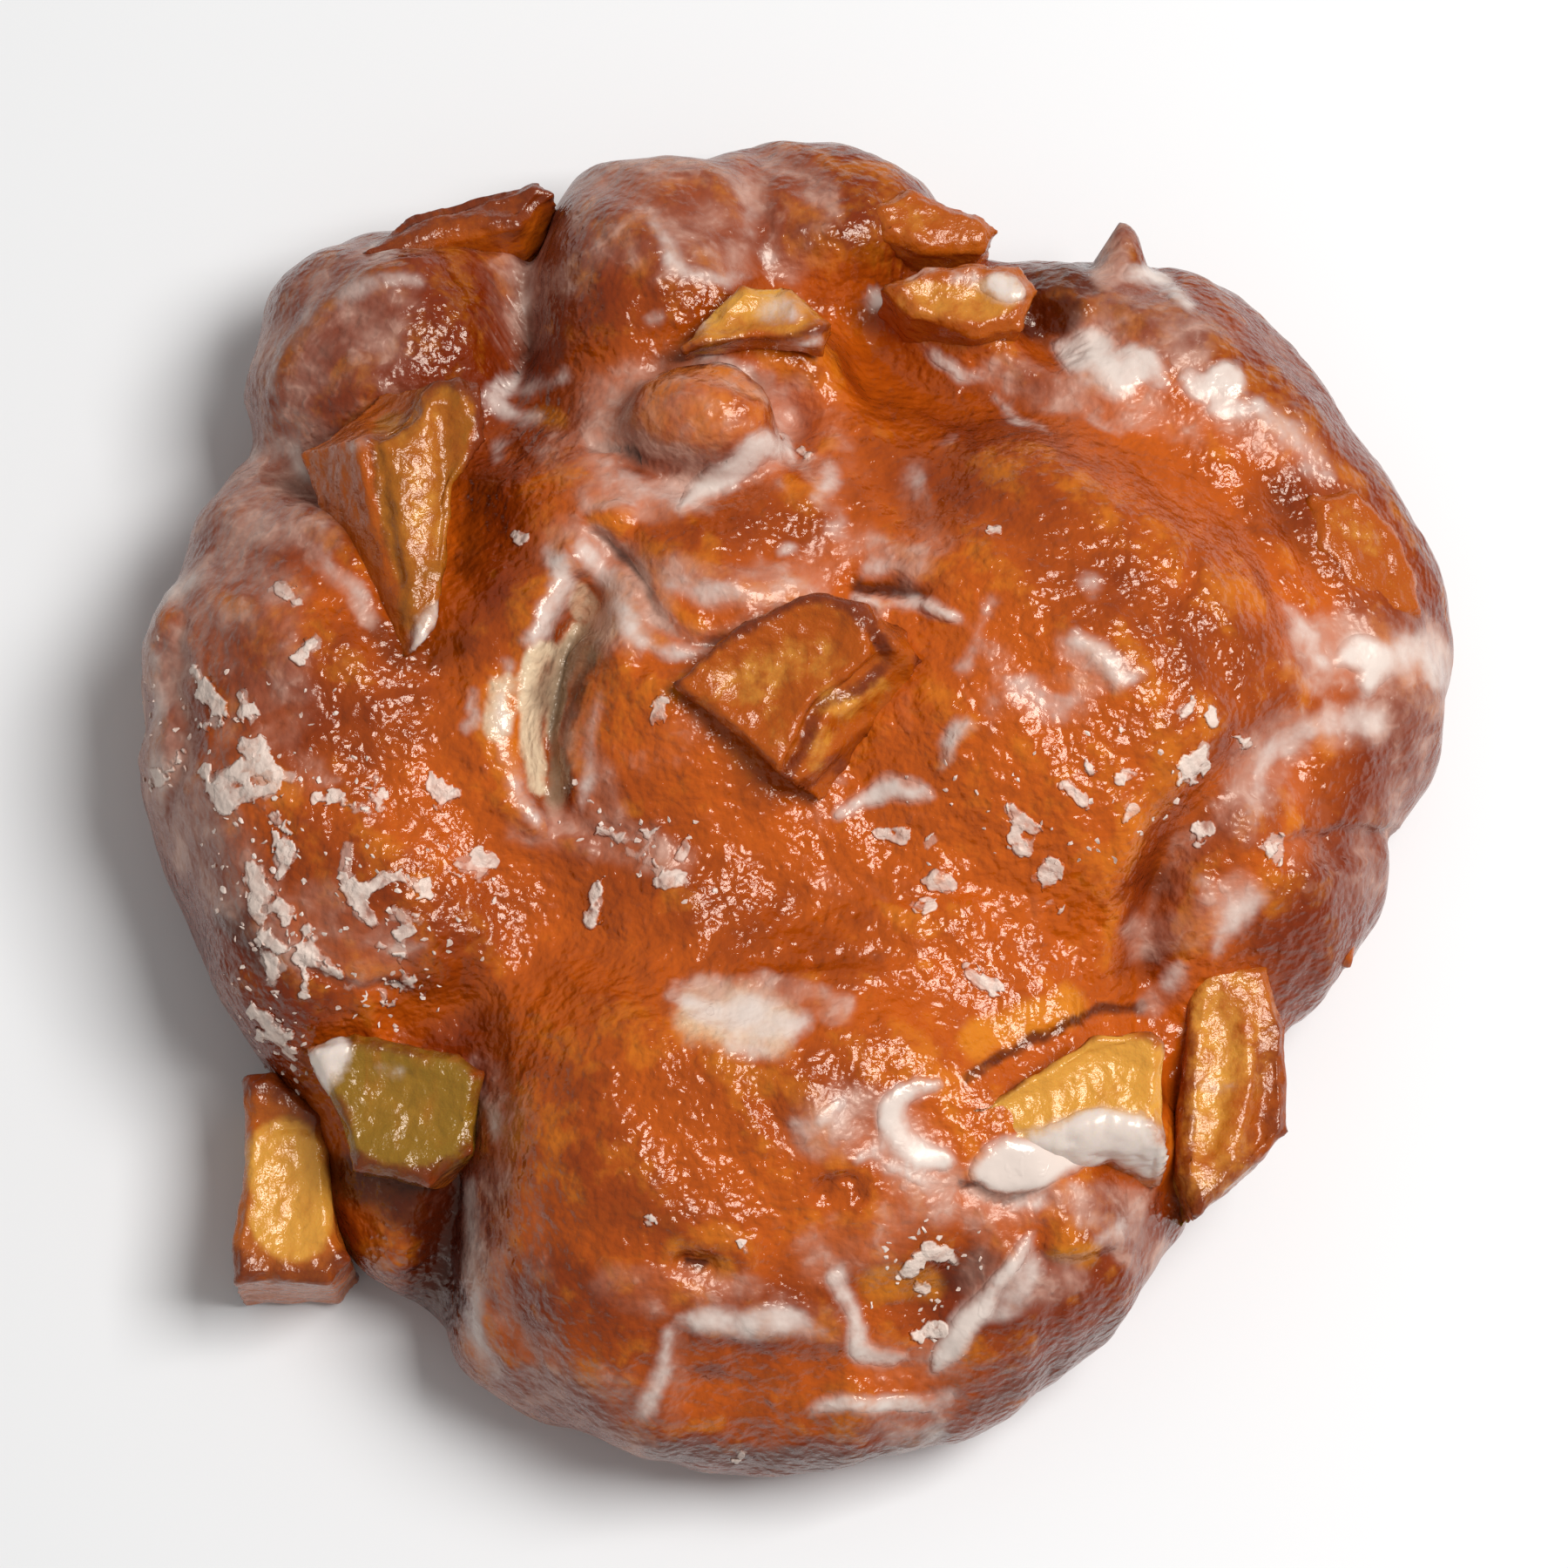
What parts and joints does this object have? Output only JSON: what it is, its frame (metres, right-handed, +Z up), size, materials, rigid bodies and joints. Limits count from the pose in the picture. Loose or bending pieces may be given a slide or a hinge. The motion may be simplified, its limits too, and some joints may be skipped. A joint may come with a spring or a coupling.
{
  "type": "apple fritter",
  "caption": "Fried yeast dough in soft uneven lobes, with pieces of apple set in it, browned and covered in a thin cracked sugar glaze, resting flat on its underside.",
  "frame": {"origin": "on the surface it rests on, under the middle of its outline", "axes": "+Z up, -Y towards the viewer at the front, where the smooth front lobe is, +X to the viewer's right"},
  "size_m": [0.1224, 0.1255, 0.0407],
  "materials": {
    "crust": "fried crust, glossy under a thin sugar glaze",
    "apple": "cooked apple, moist, with browned edges"
  },
  "bodies": {
    "root": {"dough": "crust", "apple_left_upper": "apple", "apple_centre": "apple", "apple_top": "apple", "apple_right_low": "apple", "apple_right_corner": "apple", "apple_left_low": "apple", "apple_left_outer": "apple", "apple_upper_right": "apple", "apple_top_right": "apple", "apple_right_chip": "apple", "apple_right_side": "apple", "apple_top_left": "apple"}
  },
  "joints": []
}
